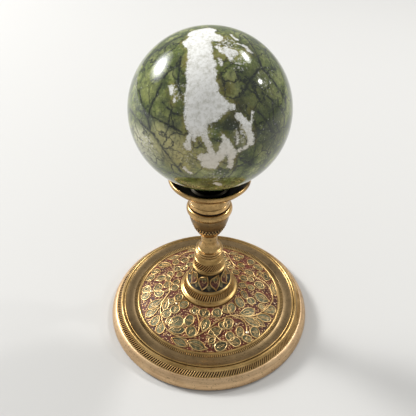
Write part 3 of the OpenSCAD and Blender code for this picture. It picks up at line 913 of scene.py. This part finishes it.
def leafCurve(shape, **turned):
    bpy.ops.curve.primitive_bezier_circle_add(radius=1, **turned)
    curve = bpy.context.object
    curve.data.resolution_u = 7
    for point, (spot, handle) in zip(curve.data.splines[0].bezier_points, leafShapes[shape]):
        point.handle_left_type = handle
        point.handle_right_type = handle
        point.co = (*spot, 0)
    return curve


def drawLeaf(shape, root, tip, width, size=1.0):
    # the outline is scaled to the leaf and turned from root to tip
    way = tip - root
    start = root + way * (1 - size) / 2
    curve = leafCurve(shape, location=start, rotation=(0, 0, math.atan2(way.y, way.x)))
    curve.scale = (way.length * size, width * size * mm, 1)
    return curve


def joinFlat(curves, name):
    pickOnly(*curves)
    bpy.ops.object.convert(target="MESH")
    bpy.ops.object.transform_apply(location=True, rotation=True, scale=True)
    if len(curves) > 1:
        bpy.ops.object.join()
    return called(name)


def layOn(piece, ground, lift, down=True):
    # drops straight down on the field, or goes straight back on to the boss
    applyModifier(piece, "SHRINKWRAP", wrap_method="PROJECT", target=ground, offset=0.0,
                  use_project_z=down, use_project_y=not down, use_negative_direction=down,
                  use_positive_direction=not down)
    piece.location = (0, 0, lift * mm) if down else (0, -lift * mm, 0)
    applyPlace(piece)


def roundWire(piece, radius):
    # flat outlines become round wire
    pickOnly(piece)
    bpy.ops.object.convert(target="CURVE")
    piece.data.bevel_depth = radius * mm
    piece.data.bevel_resolution = 1
    piece.data.use_fill_caps = True
    bpy.ops.object.convert(target="MESH")
    smooth(piece, 70)
    return piece


def fillPlates(piece, border):
    # every outline becomes a plate with a border strip and a fanned middle
    pickOnly(piece)
    bpy.ops.object.mode_set(mode="EDIT")
    bpy.ops.mesh.select_all(action="SELECT")
    bpy.ops.mesh.edge_face_add()
    bpy.ops.mesh.select_all(action="SELECT")
    bpy.ops.mesh.inset(thickness=border * mm, use_individual=True)
    bpy.ops.mesh.inset(thickness=border * mm, use_individual=True)
    bpy.ops.mesh.poke()
    bpy.ops.mesh.select_all(action="SELECT")
    bpy.ops.mesh.normals_make_consistent(inside=False)
    bpy.ops.object.mode_set(mode="OBJECT")


def drawStem(points):
    bpy.ops.curve.primitive_bezier_curve_add(radius=mm, location=(0, 0, 0))
    curve = bpy.context.object
    curve.data.resolution_u = 5
    points = [fieldSpot(spot) for spot in points]
    spline = curve.data.splines[0]
    spline.bezier_points.add(len(points) - len(spline.bezier_points))
    for handle, spot in zip(spline.bezier_points, points):
        handle.handle_left_type = "AUTO"
        handle.handle_right_type = "AUTO"
        handle.co = spot
    return curve


def makeGuide():
    # a wider surface than the field, so that every point of the ornament lands on it
    outline = [(15.9, 5), (15.9, 18.15)] + fieldLine(0, 40)[::-1] + [(44.4, 9.2), (44.4, 5)]
    return turnOnLathe("fieldGuide", outline, 160, 0)


def fieldHeight(radius):
    return min(fieldLine(0, 40), key=lambda point: abs(point[0] - radius))[1]


def makeVine():
    guide = makeGuide()
    outlines = []
    loops = []
    for shape, root, tip, width, inner in vine["leaves"]:
        outlines.append(drawLeaf(shape, fieldSpot(root), fieldSpot(tip), width))
        if inner:
            loops.append(drawLeaf("petal", fieldSpot(root), fieldSpot(tip), width, inner))
        else:
            # the others have a slim double line down the middle
            ribWidth = width * vine["ribWidth"]
            loops.append(drawLeaf("leaf", fieldSpot(root), fieldSpot(tip), ribWidth, vine["ribLength"]))
    plates = joinFlat(outlines, "leafPlates")
    edging = copyOf(plates, "leafOutlines")
    fillPlates(plates, vine["border"])
    layOn(plates, guide, vine["plateLift"])
    smooth(plates, 60)
    dress(plates, dulledLeaf)
    hand(plates, "stand", "brass")
    inside = joinFlat(loops, "leafLoops")
    stems = joinFlat([drawStem(points) for points in vine["stems"]], "vineStems")
    for piece, radius in ((edging, vine["line"]), (inside, vine["loop"]), (stems, vine["stem"])):
        layOn(piece, guide, vine["wireLift"])
        roundWire(piece, radius)
        dress(piece, raisedBrass)
        hand(piece, "stand", "brass")
    bpy.data.objects.remove(guide)


# shares of a stud's radius: how far it starts in the field, three steps of rise and narrowing, its crown
stud = {"sunk": 0.35, "steps": ((0.62, 0.94), (0.25, 0.82), (0.13, 0.66)), "crownIn": 0.14, "crownUp": 0.04}


def makeDots():
    # round studs are drawn up in steps, with a small crown on top
    dots = []
    for spot, radius in vine["dots"]:
        place = fieldSpot(spot)
        start = fieldHeight(spot[0]) - radius * stud["sunk"]
        bpy.ops.object.select_all(action="DESELECT")
        bpy.ops.mesh.primitive_circle_add(vertices=20, radius=radius * mm, fill_type="NGON",
                                          location=(place.x, place.y, start * mm))
        dots.append(bpy.context.object)
        bpy.ops.object.mode_set(mode="EDIT")
        bpy.ops.mesh.select_all(action="SELECT")
        for rise, narrow in stud["steps"]:
            bpy.ops.mesh.extrude_region_move(TRANSFORM_OT_translate={"value": (0, 0, rise * radius * mm)})
            bpy.ops.transform.resize(value=(narrow, narrow, 1))
        bpy.ops.mesh.inset(thickness=radius * stud["crownIn"] * mm)
        bpy.ops.transform.translate(value=(0, 0, radius * stud["crownUp"] * mm))
        bpy.ops.mesh.select_all(action="SELECT")
        bpy.ops.mesh.normals_make_consistent(inside=False)
        bpy.ops.object.mode_set(mode="OBJECT")
    pickOnly(*dots)
    bpy.ops.object.transform_apply(location=True, rotation=True, scale=True)
    bpy.ops.object.join()
    piece = called("flowerCentres")
    smooth(piece, 60)
    # painted highlight: the studs are dressed in near-white brass
    dress(piece, studHighlightBrass)
    hand(piece, "stand", "brass")


makeVine()
makeDots()
print("vine laid on the field")


boss = {
    "spigot": [(6, 19), (7, 15.1), (9, 15.1), (9, 17), (17.4, 17.0)], "footRing": ((16.4, 18.2), 1.0),
    "bandLow": ((15.4, 19.7), (14.0, 23.6)), "shoulder": ((14, 23.6), (12.8, 25.3)), "shoulderBulge": 0.5,
    "cove": ((12.8, 25.3), (9.5, 35.4)), "inlay": 0.5, "smallRing": ((9.05, 36.4), 0.9),
    "bandHigh": ((8.85, 37.5), (8.55, 42.5)), "bandLip": 0.25, "sunk": 0.5, "proud": 0.12,
    "collar": 8.15, "collarFoot": 42.7, "collarEdge": 0.35, "top": 46.9, "socket": 4.6, "socketDepth": 2.3,
    "bore": 2.75, "boreDepth": 3, "hollow": 6, "hollowDepth": 5, "grimeAndShadeIn": (0.2, 0.3),
    # name, band, how many bars, width of a bar, degrees that it leans over
    "cuts": (("lowCutBand", "bandLow", 66, 0.72, 5), ("highCutBand", "bandHigh", 36, 0.8, 24)),
}


def coveLine(drop, steps=18):
    low, high = boss["cove"]
    points = arcPoints((low[0], high[1]), low[0] - high[0], high[1] - low[1], 270, 180, steps)
    return [(r - drop, z) for r, z in points]


def makeBoss():
    outline = list(boss["spigot"])
    centre, radius = boss["footRing"]
    outline += arcPoints(centre, radius, radius, 0, 90, 8)
    outline += sunkBand(*boss["bandLow"], boss["bandLip"], boss["sunk"])
    outline += bowedPoints(*boss["shoulder"], boss["shoulderBulge"], 8)[1:]
    outline += coveLine(boss["inlay"])
    centre, radius = boss["smallRing"]
    outline += arcPoints(centre, radius, radius, -90, 90, 10)
    outline += sunkBand(*boss["bandHigh"], boss["bandLip"], boss["sunk"])
    top, collar, edge = boss["top"], boss["collar"], boss["collarEdge"]
    outline += [(collar, boss["collarFoot"]), (collar, top - edge), (collar - edge, top)]
    seat = top - boss["socketDepth"]
    outline += [(boss["socket"], top), (boss["socket"], seat), (boss["bore"], seat)]
    outline += [(boss["bore"], top - boss["boreDepth"]), (boss["hollow"], top - boss["hollowDepth"])]
    piece = turnOnLathe("turnedBoss", outline, 144, 0.1)
    dress(piece, ringBrass, grimeAndShadeFloor)
    hand(piece, "stand", "brass", "neck_boss")
    for name, band, count, width, slant in boss["cuts"]:
        # painted shade with grime: the floors of the boss's cut bands take the near-black finish
        finishFaces(piece, 1, inCut(*boss[band], *boss["grimeAndShadeIn"]))
        bars = cutBars(name, *boss[band], count, width, boss["sunk"] + boss["proud"], slant)
        dress(bars, cutBrass)
        hand(bars, "stand", "brass")


# lines are half widths of the wires, and lifts are heights over the lacquer
petal = {
    "count": 9, "foot": 25.5, "tip": 35.0, "width": 5.6, "border": 0.4, "line": 0.46,
    "loopFoot": 29.7, "loopTip": 33.4, "loopWidth": 2.2, "loopLine": 0.22, "loopLean": 0.05,
    "wedgeTip": 28.9, "wedgeWidth": 2.6, "wedgeBorder": 0.15,
    "plateLift": 0.14, "wireLift": 0.1, "drawnAt": 25,
}


def uprightLeaf(shape, foot, tip, width):
    # a leaf drawn standing up in front of the boss
    curve = leafCurve(shape)
    upright = Matrix(((0, 1, 0), (0, 0, 1), (1, 0, 0))).to_4x4()
    place = Matrix.Translation((0, -petal["drawnAt"] * mm, foot * mm))
    curve.matrix_world = place @ upright @ Matrix.Diagonal(((tip - foot) * mm, width * mm, 1, 1))
    return curve


def makePetals():
    ground = turnOnLathe("coveLacquer", coveLine(0, 30) + coveLine(boss["inlay"])[::-1], 144, 0)
    dress(ground, darkLacquer)
    hand(ground, "stand", "dark_lacquer", "petal_lacquer")
    foot = petal["foot"]
    plates = joinFlat([uprightLeaf("bud", foot, petal["tip"], petal["width"])], "petalPlates")
    edging = copyOf(plates, "petalOutlines")
    loop = joinFlat([uprightLeaf("petal", petal["loopFoot"], petal["loopTip"], petal["loopWidth"])],
                    "petalLoops")
    wedge = joinFlat([uprightLeaf("leaf", foot, petal["wedgeTip"], petal["wedgeWidth"])], "petalWedges")
    for piece, border in ((plates, petal["border"]), (wedge, petal["wedgeBorder"])):
        fillPlates(piece, border)
        layOn(piece, ground, petal["plateLift"], False)
    for piece, radius in ((edging, petal["line"]), (loop, petal["loopLine"])):
        layOn(piece, ground, petal["wireLift"], False)
        roundWire(piece, radius)
    half = fullTurn / petal["count"] / 2
    for piece, lean in ((plates, 0), (edging, 0), (loop, petal["loopLean"])):
        piece.rotation_euler = (0, 0, half + lean)
        applyPlace(piece)
    for piece, material, slot in ((plates, petalLacquer, "dark_lacquer"), (edging, raisedBrass, "brass"),
                                  (loop, raisedBrass, "brass"), (wedge, dulledLeaf, "dark_lacquer")):
        copyRound(piece, petal["count"])
        smooth(piece, 60)
        dress(piece, material)
        hand(piece, "stand", slot)


makeBoss()
makePetals()
print("boss turned, cut and set with petals")


knob = {
    "bore": 2.75, "spigot": 4.5, "spigotDepth": 2.2, "seat": 7.75,
    "ring": 8.1, "ringHeights": (0.35, 1.6), "ringBulge": 0.1, "lip": (7.25, 50.0), "lipRadius": 0.6,
    "flare": 5.1, "neck": 4.65, "neckTop": 61.1, "topSpigot": 3.6, "topSpigotEnd": 63,
}


def makeKnob():
    joint = boss["top"]
    start = joint - knob["spigotDepth"]
    outline = [(knob["bore"], start), (knob["spigot"], start), (knob["spigot"], joint), (knob["seat"], joint)]
    ringFoot, ringTop = [(knob["ring"], joint + height) for height in knob["ringHeights"]]
    outline += bowedPoints(ringFoot, ringTop, knob["ringBulge"], 6)
    (lipAcross, lipTop), lipRadius, flare = knob["lip"], knob["lipRadius"], knob["flare"]
    outline += arcPoints((lipAcross, lipTop - lipRadius), lipRadius, lipRadius, -90, 90, 8)
    outline += arcPoints((lipAcross, lipTop + flare), lipAcross - knob["neck"], flare, 270, 180, 20)
    outline += [(knob["neck"], knob["neckTop"]), (knob["topSpigot"], knob["neckTop"])]
    outline += [(knob["topSpigot"], knob["topSpigotEnd"]), (knob["bore"], knob["topSpigotEnd"])]
    piece = turnOnLathe("bellKnob", outline, 128, 0.1)
    dress(piece, stemBrass)
    hand(piece, "stand", "brass", "stem_knob")


cup = {
    "foot": [(3.7, 61.1), (5.6, 61.1)], "side": ((6, 61.5), (11.5, 76.4), 0.9), "shoulder": [(11.15, 76.6)],
    "bead": ((11.3, 79.1), 1.4, 2.3),
    "collar": [(10.9, 81.4), (10.9, 82.3), (11.3, 82.5), (11.3, 84.65), (10.95, 85)],
    "inside": [(8.6, 85), (8.6, 75.1), (5.4, 67.1), (2.75, 67.1), (2.75, 63.1), (3.7, 63.1)],
    "band": (65.8, 69.4), "bandDepth": 0.28,
    # radii and heights of the faces with another finish
    "bandFaces": ((5.5, 20), (65.8, 69.4)), "dullFaces": ((8.7, 20), (69.4, 76.3)),
    "grooveFaces": ((10, 20), (81.4, 82.3)),
    # two rows of teeth point at each other: height, and degrees that the row is turned over
    "rows": ((66.7, 0), (68.5, 180)), "teeth": 34, "toothRadius": 0.72, "toothDepth": 0.5,
    "toothSink": 0.26, "toothLean": 18, "toothFacet": 0.24, "toothRise": 0.12,
}


def makeCup():
    low, high = cup["band"]
    side = [(r - cup["bandDepth"] if low < z < high else r, z) for r, z in bowedPoints(*cup["side"], 40)]
    outline = cup["foot"] + side + cup["shoulder"]
    outline += arcPoints(*cup["bead"], -90, 90, 12)
    outline += cup["collar"] + cup["inside"]
    piece = turnOnLathe("vaseCup", outline, 144, 0.08)
    dress(piece, stemBrass, grimeAndShadeFloor, channelBrass)
    # painted shade with grime: the tooth band takes the near-black finish
    finishFaces(piece, 1, within(*cup["bandFaces"]))
    finishFaces(piece, 2, within(*cup["dullFaces"]))
    # painted shade with grime: the groove takes the near-black finish too
    finishFaces(piece, 1, within(*cup["grooveFaces"]))
    hand(piece, "stand", "brass", "vase_cup")


def makeTeeth():
    rows = []
    for row, (height, flip) in enumerate(cup["rows"]):
        radius = min(bowedPoints(*cup["side"], 60), key=lambda point: abs(point[1] - height))[0]
        bpy.ops.object.select_all(action="DESELECT")
        bpy.ops.mesh.primitive_cylinder_add(
            vertices=3, radius=cup["toothRadius"] * mm, depth=cup["toothDepth"] * mm,
            location=((radius - cup["toothSink"]) * mm, 0, height * mm))
        tooth = bpy.context.object
        tooth.rotation_euler = [math.radians(turn) for turn in (90 + flip, cup["toothLean"], 90)]
        applyPlace(tooth)
        outermost = max(face.center.x for face in tooth.data.polygons)
        pickFaces(tooth, lambda face: face.center.x > outermost - weld)
        bpy.ops.mesh.inset(thickness=cup["toothFacet"] * mm)
        bpy.ops.transform.translate(value=(cup["toothRise"] * mm, 0, 0))
        bpy.ops.object.mode_set(mode="OBJECT")
        tooth.rotation_euler = (0, 0, row * fullTurn / cup["teeth"] / 2)
        applyPlace(tooth)
        copyRound(tooth, cup["teeth"])
        rows.append(tooth)
    pickOnly(*rows)
    bpy.ops.object.join()
    teeth = called("zigzagTeeth")
    dress(teeth, stemBrass)
    hand(teeth, "stand", "brass")


dish = {
    "spigot": [(2.75, 83), (8.5, 83), (8.5, 85)],
    "collar": [(10.95, 85), (11.3, 85.35), (11.3, 90.3), (11.0, 90.6)],
    "outside": ((11.3, 90.9), (21.8, 98.9), 0.9), "rim": ((22, 99.2), (21.8, 100.6), 0.1),
    "lip": ((21.15, 100.35), 0.65, 0.65), "inside": ((20.5, 99.7), (12.4, 92.5), -1.4),
    "bore": [(2.75, 92.5)],
    "darkFaces": ((0, 20.6), (92.4, 101)), "darkRising": 0.1,
}


def makeDish():
    outline = dish["spigot"] + dish["collar"]
    outline += bowedPoints(*dish["outside"], 20)
    outline += bowedPoints(*dish["rim"], 6)
    outline += arcPoints(*dish["lip"], 30, 150, 8)
    outline += bowedPoints(*dish["inside"], 24)
    outline += dish["bore"]
    piece = turnOnLathe("flaredDish", outline, 176, 0.1)
    dress(piece, stemBrass, paintedShadeDish)
    # painted shade: the inside of the dish, under the ball, takes the near-black finish
    finishFaces(piece, 1, within(*dish["darkFaces"]), dish["darkRising"])
    hand(piece, "stand", "brass", "rest_dish")


makeKnob()
makeCup()
makeTeeth()
makeDish()
print("stem turned")


seatRing = {"inner": 8.35, "outer": 10.45, "foot": 99.82, "outerWall": 1.1, "innerWall": 0.9,
            "gap": 0.14, "soft": 0.35}


def makeSeat():
    reach = ballRadius + seatRing["gap"]
    inner, outer = seatRing["inner"], seatRing["outer"]
    foot, soft = seatRing["foot"], seatRing["soft"]
    low = 270 + math.degrees(math.asin((outer - soft) / reach))
    high = 270 + math.degrees(math.asin((inner + soft) / reach))
    outline = arcPoints((outer - soft, foot + soft), soft, soft, -90, 0, 4)
    outline += [(outer, foot + seatRing["outerWall"])]
    outline += arcPoints((0, ballCentre.z / mm), reach, reach, low, high, 6)
    outline += [(inner, foot + seatRing["innerWall"])]
    outline += arcPoints((inner + soft, foot + soft), soft, soft, 180, 270, 4)
    ring = turnOnLathe("leatherRing", outline, 96, 0)
    dress(ring, brownLeather)
    hand(ring, "seat", "leather", "seat_ring")
    # painted shade: the seat cup under the ball takes the same near-black finish
    dress(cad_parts["seat_cup"], paintedShadeDish)
    for name in ("tie_rod", "base_washer", "spring_washer", "base_nut", "top_washer", "top_nut"):
        dress(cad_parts[name], zincSteel)


makeSeat()
print("seat and clamp finished")


studio = {
    "floor": paint(202, 201, 198), "floorSize": 8, "air": 0.48, "backdrop": 0.78, "aim": (0, 0, 0.12),
    # the softbox is nested ones that fade towards its edge: share of the size, power
    "softbox": ((1.0, 6.5), (0.8, 6.5), (0.65, 6.5), (0.52, 6.5), (0.42, 7.0), (0.33, 9.0), (0.24, 14.5)),
    "softboxTurn": -118, "softboxLift": 31, "softboxWidth": 1.5, "softboxHeight": 1.1,
    "softboxAway": 2.16, "softboxStep": 0.08,
    # name, turn, lift, distance, size, power
    "lamps": (
        ("rightStrip", 126, 47, 1.1, (0.17, 0.07), 3.2), ("rightGlow", 126, 47, 1.14, (0.34, 0.18), 1.0),
        ("rightSpot", 95, 31, 1.1, (0.055, 0.055), 1.2), ("rightSpotGlow", 95, 31, 1.14, (0.11, 0.11), 0.4),
    ),
}


def makeFloor():
    bpy.ops.mesh.primitive_plane_add(size=studio["floorSize"], location=(0, 0, 0))
    floor = called("studioFloor")
    material, tree, shader, place = startMaterial("paleFloor")
    shader.inputs["Base Color"].default_value = studio["floor"]
    shader.inputs["Roughness"].default_value = 0.8
    dress(floor, material)


def makeLamp(name, turn, lift, distance, size, power):
    # turn is degrees to the right of the front, lift above the horizon, both from the ball
    turn, lift = math.radians(turn), math.radians(lift)
    way = Vector((math.sin(turn) * math.cos(lift), -math.cos(turn) * math.cos(lift), math.sin(lift)))
    bpy.ops.object.light_add(type="AREA", location=Vector(studio["aim"]) + way * distance)
    lamp = bpy.context.object
    lamp.name = name
    lamp.data.energy = power
    lamp.data.shape = "ELLIPSE"
    lamp.data.size, lamp.data.size_y = size
    lamp.rotation_euler = (-way).to_track_quat("-Z", "Y").to_euler()


def makeLight():
    world = bpy.data.worlds.new("studioAir")
    bpy.context.scene.world = world
    world.use_nodes = True
    tree = world.node_tree
    seen = addNode(tree, "LightPath").outputs["Is Camera Ray"]
    background = tree.nodes["Background"]
    background.inputs["Strength"].default_value = 1.0
    air, backdrop = [(grey, grey, grey, 1) for grey in (studio["air"], studio["backdrop"])]
    wire(tree, background.inputs["Color"], mixed(tree, seen, air, backdrop))
    for share, power in studio["softbox"]:
        size = (studio["softboxWidth"] * share, studio["softboxHeight"] * share)
        makeLamp("softbox%d" % (share * 100), studio["softboxTurn"], studio["softboxLift"],
                 studio["softboxAway"] + studio["softboxStep"] * share, size, power)
    for lamp in studio["lamps"]:
        makeLamp(*lamp)


viewer = {"place": (0, -232.87, 265.66), "down": 0.5853, "roll": 0.006, "lens": 46.73,
          "shift": (-0.0043, -0.1202)}


def makeCamera():
    bpy.ops.object.camera_add(location=Vector(viewer["place"]) * mm)
    camera = bpy.context.object
    camera.name = "viewerCamera"
    tilt = Matrix.Rotation(math.pi / 2 - viewer["down"], 4, "X") @ Matrix.Rotation(viewer["roll"], 4, "Z")
    camera.rotation_euler = tilt.to_euler()
    camera.data.lens = viewer["lens"]
    camera.data.shift_x, camera.data.shift_y = viewer["shift"]
    camera.data.clip_start = 0.01
    bpy.context.scene.camera = camera


makeFloor()
makeLight()
makeCamera()
bpy.context.scene.view_settings.view_transform = "Standard"
print("studio set")
